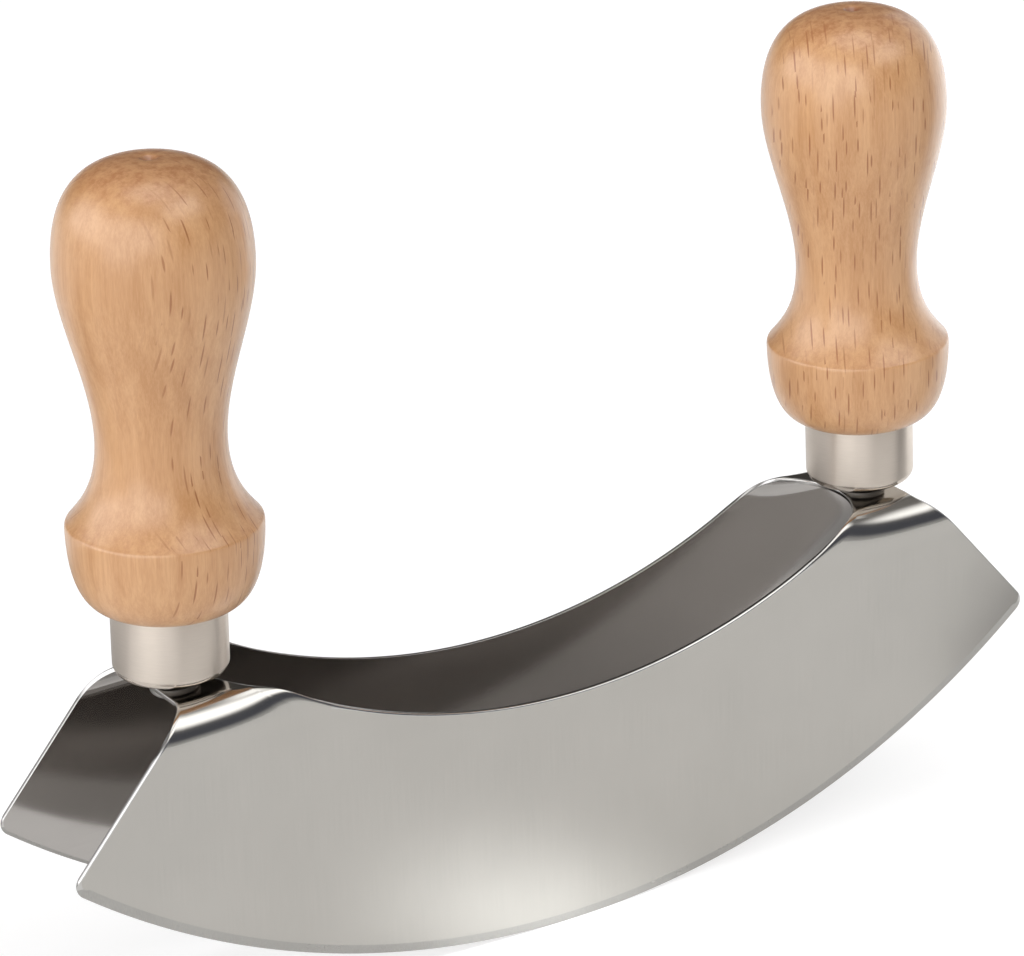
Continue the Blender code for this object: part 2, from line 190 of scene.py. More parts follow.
# %% [markdown]
# The bridge and its folds get a row of points at each of these distances. The last row lies just
# past the fold, so that the fold's soft shading ends there and the blade beyond it is truly flat.

# %% Points round the outline
bridge_steps, fold_steps, saddle_steps, tip_steps, cutting_steps = 10, 40, 110, 14, 150
steps_across_bridge = 14
past_fold = 0.3 * mm

fold_length = fold_end - bridge_flat_half
rows = [bridge_flat_half * step / bridge_steps for step in range(bridge_steps)]
rows += [bridge_flat_half + fold_length * step / fold_steps for step in range(fold_steps + 1)]
rows += [fold_end + past_fold]


def opening_quarter():
    points = [(opening_x(along), along, 0.0) for along in rows]
    start = math.asin(points[-1][0] / saddle_radius)
    for step in range(1, saddle_steps + 1):
        angle = start * (1 - step / saddle_steps)
        along = saddle_centre + saddle_radius * math.cos(angle)
        points.append((saddle_radius * math.sin(angle), along, 0.0))
    return points


def outer_quarter():
    """From the bridge's end round the tip to the cutting edge's middle, with the grind's share."""
    points = [(end_x(along), along, 0.0) for along in rows]
    line = Vector((math.sin(end_angle), math.cos(end_angle)))
    inward = Vector((-math.cos(end_angle), math.sin(end_angle)))
    offset = Vector((bridge_outer_end, end_corner - cutting_centre)) + tip_radius * inward
    reach = cutting_edge_radius - tip_radius
    middle = offset.dot(line)
    run = math.sqrt(middle**2 - offset.length_squared + reach**2) - middle
    tip_centre = offset + run * line
    first, last = math.atan2(-inward.y, -inward.x), math.atan2(tip_centre.y, tip_centre.x)
    for step in range(tip_steps + 1):
        share = step / tip_steps
        angle = first + (last - first) * share
        along = cutting_centre + tip_centre.y + tip_radius * math.sin(angle)
        points.append((tip_centre.x + tip_radius * math.cos(angle), along, share))
    for step in range(1, cutting_steps + 1):
        angle = last + (quarter_turn - last) * step / cutting_steps
        along = cutting_centre + cutting_edge_radius * math.sin(angle)
        points.append((cutting_edge_radius * math.cos(angle), along, 1.0))
    return points


def all_round(quarter):
    """Mirror a quarter of an outline into the other three."""
    left = [(-x, along, share) for x, along, share in quarter[-2::-1]]
    front_left = [(-x, -along, share) for x, along, share in quarter[1:]]
    front_right = [(x, -along, share) for x, along, share in quarter[-2:0:-1]]
    return quarter + left + front_left + front_right


outer_outline, opening_outline = all_round(outer_quarter()), all_round(opening_quarter())
print("outline points:", len(outer_outline), "and", len(opening_outline))

# %% [markdown]
# ## Folding the sheet and working its edges
#
# Close to the opening little metal holds a bend back, and it closes up tighter: on the left from
# 7 mm to less than half of that at the very edge, on the right not as much. That is why the bright
# bands on the folds curve up there. A single radius would give straight bands, so the radius
# depends on the distance from the opening's round nose, and the fold keeps its start and its end.

# %% Fold
left_tightening, right_tightening, tightening_reach = 0.56, 0.44, 3.6 * mm


def fold_radius_at(x, along):
    at_edge = left_tightening if x < 0 else right_tightening
    from_nose = max(0.0, math.hypot(abs(x) - nose_centre, along) - nose_radius)
    return fold_radius * (1 - at_edge * math.exp(-from_nose / tightening_reach))


def folded(x, along, depth):
    """Where a point of the flat blank lies after folding, at this depth under the outer face."""
    side, reach = math.copysign(1, along), abs(along)
    if reach <= bridge_flat_half:
        return Vector((x, along, bridge_height - depth))
    if reach >= fold_end:
        height = fold_end_height - (reach - fold_end)
        return Vector((x, side * (blades_outside_width / 2 - depth), height))
    radius = fold_radius_at(x, along)
    straight = fold_radius - radius
    run = (reach - bridge_flat_half) / fold_length * (2 * straight + radius * quarter_turn)
    turn = min(quarter_turn, max(0.0, (run - straight) / radius))
    before, after = min(run, straight), max(0.0, run - straight - radius * quarter_turn)
    across = bridge_flat_half + before + (radius - depth) * math.sin(turn)
    height = bridge_height - radius - after + (radius - depth) * math.cos(turn)
    return Vector((x, side * across, height))


nose_tip = nose_centre + nose_radius
nose_folds = [round(fold_radius_at(x, 0) / mm, 1) for x in (-nose_tip, nose_tip)]
print("fold radius at the noses:", nose_folds, "mm")

# %% [markdown]
# A blanked edge has two unlike corners. The punch drags the outer face's corner round, more in the
# opening than at the ends, and that rounding draws the white line along the blades. On a fold the
# outer face is stretched as well, so the corner sinks over up to two millimetres, and the bright
# bands bend round just before they reach the edge. On the inner face the metal breaks off, and
# rubbing leaves only a small radius. The cutting edges are ground to a bevel instead, wide on the
# outer face and only dressed on the inner one. All are one row of points across the sheet's edge,
# and a share of 0 to 1 turns the blanked edge into the ground one round each tip.

# %% Edge
opening_edge_round, end_edge_round, inner_edge_round = 0.42 * mm, 0.30 * mm, 0.12 * mm
sunk_on_opening = {"left": 2.2 * mm, "right": 1.6 * mm}
sunk_on_end = {"left": 0.7 * mm, "right": 0.5 * mm}
sunk_past_fold = 1.5 * mm
outer_grind_width, inner_grind_width = 1.9 * mm, 0.7 * mm
cutting_edge_thickness = 0.14 * mm
edge_steps = 8
sunk_face_steps = edge_steps - 2
flat_place = {}
finishes = {"outer": 0, "inner": 1, "edge": 2, "ground": 3}


def edge_profile(share, rounding, width, grind_width):
    """Inset from the outline and depth of each point, from a face to the middle of the edge."""
    points = []
    for step in range(edge_steps + 1):
        part = step / edge_steps
        angle = part * quarter_turn
        round_point = Vector((width * (1 - math.sin(angle)), rounding * (1 - math.cos(angle))))
        ground_depth = (sheet_thickness - cutting_edge_thickness) / 2 * part
        ground_point = Vector((grind_width * (1 - part), ground_depth))
        points.append(round_point.lerp(ground_point, share))
    return points


def outer_edge_width(x, along, rounding, sunk):
    """How far in the outer corner's rounding starts: furthest in the middle of a fold."""
    widest = sunk["left" if x < 0 else "right"]
    from_middle = abs(abs(along) - bridge_flat_half - fold_length / 2)
    share = max(0.0, 1 - from_middle / (fold_length / 2 + sunk_past_fold))
    return rounding + (widest - rounding) * share * share * (3 - 2 * share)


def work_edge(sheet, loop, material_side, rounding, sunk):
    """Rings of points round one edge of the sheet, from its outer face to its inner face."""
    rings = [[] for _ in range(2 * edge_steps + 2)]
    for index, (x, along, share) in enumerate(loop):
        before, after = loop[index - 1], loop[(index + 1) % len(loop)]
        run = Vector((after[0] - before[0], after[1] - before[1])).normalized()
        inward = material_side * Vector((-run.y, run.x))
        width = outer_edge_width(x, along, rounding, sunk)
        outer_half = edge_profile(share, rounding, width, outer_grind_width)
        inner_half = edge_profile(share, inner_edge_round, inner_edge_round, inner_grind_width)
        inner_half = [(inset, sheet_thickness - depth) for inset, depth in inner_half[::-1]]
        for ring, (inset, depth) in zip(rings, outer_half + inner_half):
            place = Vector((x, along)) + inset * inward
            ring.append(sheet.verts.new(folded(place.x, place.y, depth)))
            flat_place[ring[-1]] = place
    for number, (lower, upper) in enumerate(zip(rings, rings[1:])):
        for index, (x, along, share) in enumerate(loop):
            corners = (lower[index - 1], lower[index], upper[index], upper[index - 1])
            sinking = outer_edge_width(x, along, rounding, sunk) > 2 * rounding
            if sinking and number < sunk_face_steps:
                finish = "outer"
            else:
                finish = "ground" if share + loop[index - 1][2] > 1 else "edge"
            sheet.faces.new(corners).material_index = finishes[finish]
    return rings


print("edge rings:", 2 * edge_steps + 2)

# %% [markdown]
# Each face of the sheet is then covered. A blade is flat, so one large face is enough for it. A
# bridge with its two folds is a net of small ones.

# %% Cover the faces
def cover_row(sheet, first, last, depth):
    """A row of points over a bridge, from one on the opening's edge to one on the outer edge."""
    row = [first]
    for step in range(1, steps_across_bridge):
        place = flat_place[first].lerp(flat_place[last], step / steps_across_bridge)
        row.append(sheet.verts.new(folded(place.x, place.y, depth)))
    return row + [last]


def cover_face(sheet, outer, opening, depth, finish):
    """One face of the sheet: a net over each bridge and its folds, and one face for each blade."""
    last_row = len(rows) - 1
    half_outer, half_opening = len(outer) // 2, len(opening) // 2
    right_net, left_net = {}, {}
    for index in range(-last_row, last_row + 1):
        right_net[index] = cover_row(sheet, opening[index], outer[index], depth)
        a, b = half_opening - index, half_outer - index
        left_net[index] = cover_row(sheet, opening[a], outer[b], depth)
    faces = []
    for net in (right_net, left_net):
        for index in range(-last_row, last_row):
            near, far = net[index], net[index + 1]
            for step in range(steps_across_bridge):
                faces.append((near[step], near[step + 1], far[step + 1], far[step]))
    rear_opening = opening[last_row : half_opening - last_row + 1][::-1]
    rear_outer = outer[last_row : half_outer - last_row + 1]
    left_row, right_row = left_net[last_row], right_net[last_row]
    faces.append(rear_outer + left_row[-2:0:-1] + rear_opening + right_row[1:-1])
    front_opening = opening[half_opening + last_row : len(opening) - last_row + 1][::-1]
    front_outer = outer[half_outer + last_row : len(outer) - last_row + 1]
    left_row, right_row = left_net[-last_row], right_net[-last_row]
    faces.append(front_outer + right_row[-2:0:-1] + front_opening + left_row[1:-1])
    for corners in faces:
        sheet.faces.new(corners).material_index = finishes[finish]


print("steps across each bridge:", steps_across_bridge)

# %% [markdown]
# With both edges worked and both faces covered, the sheet is whole. It is shaded smooth, and only
# the lines where an edge's rounding meets a face stay sharp, which keeps the flat faces flat.

# %% Make the folded sheet
sheet = bmesh.new()
outer_rings = work_edge(sheet, outer_outline, 1, end_edge_round, sunk_on_end)
opening_rings = work_edge(sheet, opening_outline, -1, opening_edge_round, sunk_on_opening)
cover_face(sheet, outer_rings[0], opening_rings[0], 0.0, "outer")
cover_face(sheet, outer_rings[-1], opening_rings[-1], sheet_thickness, "inner")
bmesh.ops.recalc_face_normals(sheet, faces=sheet.faces)
for face in sheet.faces:
    face.smooth = True
for ring in (outer_rings[0], outer_rings[-1], opening_rings[0], opening_rings[-1]):
    for first, second in zip(ring, ring[1:] + ring[:1]):
        sheet.edges.get((first, second)).smooth = False
blade_mesh = bpy.data.meshes.new("folded_blade")
sheet.to_mesh(blade_mesh)
sheet.free()
folded_blade = add_object("folded_blade", blade_mesh)
print("folded blade:", len(blade_mesh.polygons), "faces")

# %% [markdown]
# Each bridge has a plain round hole for the handle's screw. A Boolean cuts it, as a punch does.
# The result is kept as the mesh, and the hole's rim is marked sharp, so that it doesn't bend the
# shading of the polished bridge round it.

# %% Punch the screw holes
screw_diameter = 4.8 * mm
screw_hole_radius = screw_diameter / 2 + 0.35 * mm
punch_sides = 64
hole_rim_angle, corner_angle = math.radians(60), math.radians(35)


def mark_sharp(solid, sharp_angle):
    for edge in solid.edges:
        if len(edge.link_faces) == 2 and edge.calc_face_angle() > sharp_angle:
            edge.smooth = False


def cut_out(piece, cutter, sharp_angle):
    """Take a cutter's shape out of a piece, keep the result and mark its new sharp edges."""
    cutter_mesh = bpy.data.meshes.new("cutter")
    cutter.to_mesh(cutter_mesh)
    cutter.free()
    tool = add_object("cutter", cutter_mesh)
    tool.matrix_world = piece.matrix_world
    hole = piece.modifiers.new("hole", "BOOLEAN")
    hole.operation = "DIFFERENCE"
    hole.solver = "EXACT"
    hole.object = tool
    result = bmesh.new()
    result.from_object(piece, bpy.context.evaluated_depsgraph_get())
    piece.modifiers.clear()
    mark_sharp(result, sharp_angle)
    result.to_mesh(piece.data)
    result.free()
    bpy.data.objects.remove(tool)


for side in side_signs.values():
    punch = bmesh.new()
    bmesh.ops.create_cone(
        punch,
        cap_ends=True,
        segments=punch_sides,
        radius1=screw_hole_radius,
        radius2=screw_hole_radius,
        depth=4 * sheet_thickness,
        matrix=Matrix.Translation((side * bridge_centre, 0, bridge_height - sheet_thickness / 2)),
    )
    cut_out(folded_blade, punch, hole_rim_angle)
print("punched blade:", len(blade_mesh.polygons), "faces")

# %% [markdown]
# ## Turned and drawn pieces
#
# Handles, ferrules, washers and screws are all round about one upright axis, so each is a profile
# spun round it, as on a lathe. Each handle stands on its own axis, which leans 1.3 degrees towards
# the middle of the blade. All four come in pairs, so a piece is made once for each side.

# %% Spin a profile
curve_steps = 28
merge_distance = 0.1 * mm * mm


def smooth_solid(solid, sharp_angle):
    bmesh.ops.recalc_face_normals(solid, faces=solid.faces)
    for face in solid.faces:
        face.smooth = True
    mark_sharp(solid, sharp_angle)
    return solid


def spin_profile(profile, sides, sharp_angle):
    """A profile of radius and height turned about Z, smooth but for its sharp corners."""
    solid = bmesh.new()
    points = [solid.verts.new((radius, 0, height)) for radius, height in profile]
    edges = [solid.edges.new(pair) for pair in zip(points, points[1:])]
    if profile[0][0] and profile[-1][0]:
        edges.append(solid.edges.new((points[-1], points[0])))
    bmesh.ops.spin(
        solid,
        geom=points + edges,
        cent=(0, 0, 0),
        axis=(0, 0, 1),
        angle=4 * quarter_turn,
        steps=sides,
        use_merge=True,
    )
    bmesh.ops.remove_doubles(solid, verts=solid.verts, dist=merge_distance)
    return smooth_solid(solid, sharp_angle)


def make_pair(ending, make_solid, *values):
    """A left and a right piece, each on its handle's axis with its zero at the ferrule's foot."""
    pair = {}
    for side_name, side in side_signs.items():
        name = f"{side_name}_{ending}"
        pair[side_name] = add_object(name, bpy.data.meshes.new(name))
        place = Matrix.Translation((side * handle_x, 0, seat_height))
        pair[side_name].matrix_world = place @ Matrix.Rotation(-side * handle_toe_in, 4, "Y")
        solid = make_solid(*values)
        solid.to_mesh(pair[side_name].data)
        solid.free()
    return pair


def arc(centre, radius, start, end, steps):
    angles = [start + (end - start) * step / steps for step in range(steps + 1)]
    return [(centre[0] + radius * math.cos(a), centre[1] + radius * math.sin(a)) for a in angles]


def curve(start, start_pull, end_pull, end, steps=curve_steps):
    """Points along a cubic curve, without its first."""
    points = []
    for step in range(1, steps + 1):
        t = step / steps
        weights = ((1 - t) ** 3, 3 * t * (1 - t) ** 2, 3 * t**2 * (1 - t), t**3)
        corners = (start, start_pull, end_pull, end)
        points.append(
            tuple(sum(w * c[axis] for w, c in zip(weights, corners)) for axis in (0, 1))
        )
    return points


print("axes lean:", round(math.degrees(handle_toe_in), 2), "degrees")

# %% [markdown]
# ## The handles
#
# The handle's outline is four curves that flow into one another: a flat crown over a full bulb,
# the long neck, the flare to a low ridge, and the bowl that shrinks into the ferrule. A lathe cuts
# the ridge crisp, and sanding then takes its edge off. The lathe's centre leaves a small pit in
# the crown.

# %% Turn the handles
ferrule_diameter = 21.3 * mm
ferrule_height = 12.9 * mm
ferrule_wall = 0.8 * mm
bulb, waist, ridge, foot = (size * mm / 2 for size in (35.7, 23.6, 35.8, 21.3))
bowl_height, flare_height, neck_height, crown_height = (h * mm for h in (16.0, 15.6, 32.6, 18.9))
ridge_break, ridge_corner, ridge_steps = 0.55 * mm, 0.08 * mm, 6
lathe_mark_radius, lathe_mark_depth = 1.6 * mm, 1.1 * mm
lathe_sides, wood_corner_angle = 144, math.radians(40)
tenon_length = 11.0 * mm
screw_point_length = 5.0 * mm
screw_seat = -(ferrule_lift + sheet_thickness + seat_gap)
screw_tip = screw_seat + 36.0 * mm

foot_height = ferrule_height + seat_gap
ridge_height = foot_height + bowl_height
waist_height = ridge_height + flare_height
bulb_height = waist_height + neck_height
crown_top = bulb_height + crown_height

crown_width_share, crown_side_share = 0.84, 0.51
neck_top_share, neck_foot_share = 0.30, 0.345
flare_top_share, flare_width_share, flare_foot_share = 0.53, 0.51, 0.23
bowl_side_share, bowl_width_share = 0.45, 0.80


def handle_profile():
    """The handle's outline from the crown's pit down to the tenon and up its bore."""
    pit = ((0, lathe_mark_depth), (0.55, lathe_mark_depth * 0.75), (0.85, 0.25 * mm))
    pit += ((1, 0.06 * mm), (1.2, 0))
    outline = [(share * lathe_mark_radius, crown_top - depth) for share, depth in pit]

    def carry_on(start_pull, end_pull, end, steps=curve_steps):
        outline.extend(curve(outline[-1], start_pull, end_pull, end, steps))

    crown_side = bulb_height + crown_height * crown_side_share
    carry_on((bulb * crown_width_share, crown_top), (bulb, crown_side), (bulb, bulb_height))
    neck_pull = (bulb, bulb_height - neck_height * neck_top_share)
    waist_pull = (waist, waist_height + neck_height * neck_foot_share)
    carry_on(neck_pull, waist_pull, (waist, waist_height))
    flare_pull = (waist, waist_height - flare_height * flare_top_share)
    ridge_inset = (ridge - waist) * flare_width_share
    ridge_pull = (ridge - ridge_inset, ridge_height + flare_height * flare_foot_share)
    carry_on(flare_pull, ridge_pull, (ridge - ridge_break, ridge_height + ridge_break))
    corner = (ridge - ridge_corner, ridge_height + ridge_corner)
    carry_on(corner, corner, (ridge, ridge_height - ridge_break), ridge_steps)
    bowl_pull = (ridge, ridge_height - ridge_break - bowl_height * bowl_side_share)
    foot_pull = (foot + (ridge - foot) * bowl_width_share, foot_height)
    carry_on(bowl_pull, foot_pull, (foot, foot_height))
    tenon = foot - ferrule_wall - seat_gap
    tenon_foot = foot_height - tenon_length
    bore = screw_diameter / 2 + seat_gap
    bore_top = screw_tip + seat_gap
    outline += [(tenon, foot_height), (tenon, tenon_foot), (bore, tenon_foot)]
    return outline + [(bore, bore_top - screw_point_length), (0, bore_top)]


handles = make_pair(
    "turned_handle", spin_profile, handle_profile(), lathe_sides, wood_corner_angle
)
print("handle height:", round(crown_top / mm, 1), "mm above the ferrule's foot")

# %% [markdown]
# ## The ferrules
#
# A ferrule is a steel cup drawn from thin sheet. Drawing leaves a soft radius round its foot and a
# slightly rounded lip, and both catch the light, so both are in the profile.

# %% Draw the ferrules
foot_radius, lip_radius = 1.9 * mm, 0.3 * mm
lip_steps, foot_steps, inner_foot_steps = 6, 16, 8


def ferrule_profile():
    """Closed outline of the cup: down its outside, in under its foot and up its inside."""
    outer = ferrule_diameter / 2
    lip_centre = (outer - lip_radius, ferrule_height - lip_radius)
    foot_centre = (outer - foot_radius, foot_radius)
    outline = arc(lip_centre, lip_radius, quarter_turn, 0, lip_steps)
    outline += arc(foot_centre, foot_radius, 0, -quarter_turn, foot_steps)
    outline += [(screw_hole_radius, 0), (screw_hole_radius, ferrule_wall)]
    outline += arc(foot_centre, foot_radius - ferrule_wall, -quarter_turn, 0, inner_foot_steps)
    return outline + [(outer - ferrule_wall, ferrule_height)]


ferrules = make_pair("drawn_ferrule", spin_profile, ferrule_profile(), lathe_sides, corner_angle)
print("ferrule:", round(ferrule_diameter / mm, 1), "mm across")

# %% [markdown]
# ## The washers
#
# Between each ferrule and its bridge lies a small spacer washer. Only a dark slit of it can be
# seen, but the slit is part of the look, so the washer is a piece of its own with its corners
# rubbed round.

# %% Stamp the washers
washer_diameter = 10.0 * mm
edge_break, break_steps = 0.15 * mm, 4
washer_sides = 72


def washer_profile():
    outer, top = washer_diameter / 2 - edge_break, -seat_gap
    bottom = top - washer_thickness
    outline = [(screw_hole_radius, top)]
    outline += arc((outer, top - edge_break), edge_break, quarter_turn, 0, break_steps)
    outline += arc((outer, bottom + edge_break), edge_break, 0, -quarter_turn, break_steps)
    return outline + [(screw_hole_radius, bottom)]


washers = make_pair("stamped_washer", spin_profile, washer_profile(), washer_sides, corner_angle)
print("washer:", round(washer_thickness / mm, 1), "mm thick")

# %% [markdown]
# ## The screws
#
# A wood screw comes up from under each bridge and holds everything together. A thread could be
# spun with a Screw modifier, but then the plain neck, the thread and the point have to be joined.
# Here the whole screw is rings of points round one axis, and the thread is a ridge in each ring
# that turns a little further from one ring to the next.

# %% Shape the screws
screw_head_radius = 4.1 * mm
screw_head_height, screw_head_rim, head_corner = 2.1 * mm, 0.6 * mm, 0.1 * mm
thread_pitch, thread_depth, thread_ridge_share = 2.1 * mm, 0.75 * mm, 0.45
plain_neck = 5.0 * mm
screw_sides, dome_steps, shank_steps = 40, 12, 190


def screw_ring_radius(height, angle):
    """Radius of the shank at one height and angle, with the thread's ridge and the point."""
    turn = (height / thread_pitch - angle / (4 * quarter_turn)) % 1
    ridge_share = max(0.0, 1 - abs(2 * turn - 1) / thread_ridge_share)
    run_in = min(1.0, max(0.0, (height - screw_seat - plain_neck) / thread_pitch))
    groove = thread_depth * run_in * (1 - ridge_share)
    taper = min(1.0, (screw_tip - height) / screw_point_length)
    return (screw_diameter / 2 - groove) * taper


def make_screw():
    dome_height = screw_head_height - screw_head_rim
    rings = []
    for step in range(1, dome_steps + 1):
        turn = quarter_turn * step / dome_steps
        height = screw_seat - screw_head_rim - dome_height * math.cos(turn)
        rings.append((height, screw_head_radius * math.sin(turn)))
    rings += [(screw_seat - head_corner, screw_head_radius)]
    rings += [(screw_seat, screw_head_radius - head_corner)]
    shank_length = screw_tip - screw_seat
    rings += [(screw_seat + shank_length * step / shank_steps, None) for step in range(shank_steps)]
    solid = bmesh.new()
    angles = [4 * quarter_turn * step / screw_sides for step in range(screw_sides)]
    loops = []
    for height, radius in rings:
        loops.append([])
        for angle in angles:
            reach = screw_ring_radius(height, angle) if radius is None else radius
            point = (reach * math.cos(angle), reach * math.sin(angle), height)
            loops[-1].append(solid.verts.new(point))
    for lower, upper in zip(loops, loops[1:]):
        for index in range(screw_sides):
            solid.faces.new((lower[index - 1], lower[index], upper[index], upper[index - 1]))
    for loop, height in ((loops[0], screw_seat - screw_head_height), (loops[-1], screw_tip)):
        pole = solid.verts.new((0, 0, height))
        for index in range(screw_sides):
            solid.faces.new((loop[index - 1], loop[index], pole))
    return smooth_solid(solid, corner_angle)


screws = make_pair("wood_screw", make_screw)
print("screw:", round((screw_tip - screw_seat) / mm), "mm long")

# %% [markdown]
# Each head has a cross recess for the driver. A punch forms it cold, and it narrows towards its
# bottom, so the cutter is two tapered bars that cross.

# %% Cut the cross recess in each head
recess_length, recess_width, recess_depth = 4.2 * mm, 1.0 * mm, 1.4 * mm
recess_overrun, recess_taper = 0.5 * mm, 0.7


def cross_cutter():
    """Two bars that cross, both narrower towards the bottom of the recess."""
    cutter = bmesh.new()
    mouth = screw_seat - screw_head_height - recess_overrun
    depth = recess_depth + recess_overrun
    middle = mouth + depth / 2
    for length, width in ((recess_length, recess_width), (recess_width, recess_length)):
        place = Matrix.Translation((0, 0, middle)) @ Matrix.Diagonal((length, width, depth, 1))
        for corner in bmesh.ops.create_cube(cutter, size=1, matrix=place)["verts"]:
            if corner.co.z > middle:
                corner.co.x *= recess_taper
                corner.co.y *= recess_taper
    return cutter


for screw in screws.values():
    cut_out(screw, cross_cutter(), corner_angle)
print("screw:", len(screws["right"].data.polygons), "faces")

# %% [markdown]
# ## Helpers for materials
#
# Every material here is a tree of small nodes. These helpers add a node and link it in one line,
# so that the lines below read as the finish is described: a noise, stretched along the grain,
# between two tones.

# %% Node helpers
mix_share, mix_first, mix_second, mix_result = 0, 6, 7, 2


class Nodes:
    """A tree of shader nodes, with a short call for each kind of step."""

    def __init__(self, tree):
        self.tree = tree

    def feed(self, socket, source):
        """Link a source to a socket, or write it there if it's a plain value."""
        if isinstance(source, bpy.types.NodeSocket):
            self.tree.links.new(source, socket)
        else:
            socket.default_value = source

    def add(self, kind, inputs, **settings):
        """Add one node with its settings, feed its inputs and give its outputs."""
        node = self.tree.nodes.new("ShaderNode" + kind)
        for setting, value in settings.items():
            setattr(node, setting, value)
        for name, source in inputs.items():
            self.feed(node.inputs[name], source)
        return node.outputs

    def maths(self, operation, *values):
        return self.add("Math", dict(enumerate(values)), operation=operation)[0]

    def times(self, first, *others):
        for other in others:
            first = self.maths("MULTIPLY", first, other)
        return first

    def times_plus(self, first, second, third):
        return self.maths("MULTIPLY_ADD", first, second, third)

    def vector(self, operation, *values):
        return self.add("VectorMath", dict(enumerate(values)), operation=operation)["Vector"]

    def number(self, operation, *values):
        """A length or a dot product: vectors in, one number out."""
        return self.add("VectorMath", dict(enumerate(values)), operation=operation)["Value"]

    def axes(self, place):
        return self.add("SeparateXYZ", {"Vector": place})

    def between(self, value, low, high, to_low=0.0, to_high=1.0):
        """A smooth step of the value from one number to another."""
        limits = {"From Min": low, "From Max": high, "To Min": to_low, "To Max": to_high}
        limits["Value"] = value
        return self.add("MapRange", limits, interpolation_type="SMOOTHSTEP")["Result"]

    def blend(self, share, first, second):
        return self.add("MapRange", {"Value": share, "To Min": first, "To Max": second})["Result"]

    def mix(self, share, first, second):
        """A colour between two others."""
        sources = {mix_share: share, mix_first: first, mix_second: second}
        return self.add("Mix", sources, data_type="RGBA", clamp_factor=True)[mix_result]

    def noise(self, place, density, detail=2.0, roughness=0.5):
        """Noise with this many cells to the millimetre along each axis."""
        sources = {"Vector": self.vector("MULTIPLY", place, density), "Scale": 1.0}
        return self.add("TexNoise", {**sources, "Detail": detail, "Roughness": roughness})["Fac"]

    def use(self, group, values):
        """Place a node group with its own values, and give its outputs."""
        node = self.tree.nodes.new("ShaderNodeGroup")
        node.node_tree = group.tree
        for name, value in values.items():
            self.feed(node.inputs[name], value)
        return node.outputs


def new_group(name, inputs, outputs):
    """A node group. A number as an input's starting value makes a number, all else a vector."""
    group = bpy.data.node_groups.new(name, "ShaderNodeTree")
    for label, start in inputs.items():
        kind = "NodeSocketFloat" if isinstance(start, float) else "NodeSocketVector"
        socket = group.interface.new_socket(name=label, in_out="INPUT", socket_type=kind)
        if start is not None:
            socket.default_value = start
    for label in outputs:
        group.interface.new_socket(name=label, in_out="OUTPUT", socket_type="NodeSocketFloat")
    entry = group.nodes.new("NodeGroupInput").outputs
    return Nodes(group), entry, group.nodes.new("NodeGroupOutput").inputs


def new_material(name, constants):
    """A material with one Principled shader, and the place on the piece in millimetres."""
    material = bpy.data.materials.new(name)
    material.use_nodes = True
    nodes = Nodes(material.node_tree)
    shader = material.node_tree.nodes["Principled BSDF"].inputs
    for socket, value in constants.items():
        shader[socket].default_value = value
    coordinates = nodes.add("TexCoord", {})["Object"]
    place = nodes.add("VectorMath", {0: coordinates, "Scale": 1 / mm}, operation="SCALE")["Vector"]
    return material, nodes, shader, place


def add_bump(nodes, shader, height, distance):
    bump = nodes.add("Bump", {"Height": height, "Distance": distance, "Strength": 1.0})
    nodes.feed(shader["Normal"], bump["Normal"])


print("helpers ready")

# %% [markdown]
# ## Beech
#
# Beech is pale pinkish brown and nearly plain, and what makes it beech is its rays. Cut edge-on
# they show as short brown upright flecks, a third of a millimetre wide and three to five tall.
# They all run the same way through the wood, so they show on the side of the handle that faces
# along them and fade out round its sides. An image of flecks would have to be wrapped round the
# turned shape. Here the flecks are thin leaves set in space instead, and the lathe cuts through
# them as it does in the real wood. All lengths in this group are in millimetres.

# %% The beech grain group
leaf_cell = (6.0, 2.2, 6.5)
leaf_half = (6.0, 0.17, 2.2)
pith_distance, ring_spacing, ring_waviness, late_wood_power = 85.0, 3.1, 4.0, 2.2

wood, entry, exit_ = new_group(
    "beech_grain",
    {"Place": None, "Grain Turn": 0.0, "Log": 0.0, "Fleck Limit": 0.1},
    ("Tone", "Flecks", "Fibres", "Rings"),
)
turn_inputs = {"Vector": entry["Place"], "Angle": entry["Grain Turn"]}
turned = wood.add("VectorRotate", turn_inputs, rotation_type="Z_AXIS")["Vector"]
log_place = wood.add("CombineXYZ", {"X": entry["Log"], "Y": entry["Log"], "Z": entry["Log"]})
wood_place = wood.vector("ADD", turned, log_place["Vector"])

# The rings are cylinders round a pith that lies far outside the handle, a little wavy.
from_pith = wood.vector("MULTIPLY", wood.vector("ADD", turned, (pith_distance, 0, 0)), (1, 1, 0))
waviness = wood.noise(wood_place, (0.05, 0.05, 0.012))
waved = wood.times_plus(waviness, ring_waviness, wood.number("LENGTH", from_pith))
ring_phase = wood.maths("FRACT", wood.maths("DIVIDE", waved, ring_spacing))
late_wood = wood.maths("POWER", ring_phase, late_wood_power)
ring_end = wood.between(ring_phase, 0.9, 1.0, 1.0, 0.0)
wood.feed(exit_["Rings"], wood.times(late_wood, ring_end))

# Fibres are fine streaks along the grain. The tone drifts in upright bands some millimetres wide.
streaks = wood.noise(wood_place, (1.9, 1.9, 0.07), 3, 0.65)
pores = wood.noise(wood_place, (5.0, 5.0, 0.5), 1)
wood.feed(exit_["Fibres"], wood.times_plus(pores, 0.35, wood.times(streaks, 0.65)))
bands = wood.noise(wood_place, (0.32, 0.32, 0.012))
drift = wood.noise(wood_place, (0.09, 0.09, 0.035), 3)
tone = wood.times_plus(bands, 0.6, wood.times(drift, 0.4))
wood.feed(exit_["Tone"], wood.between(tone, 0.32, 0.68))

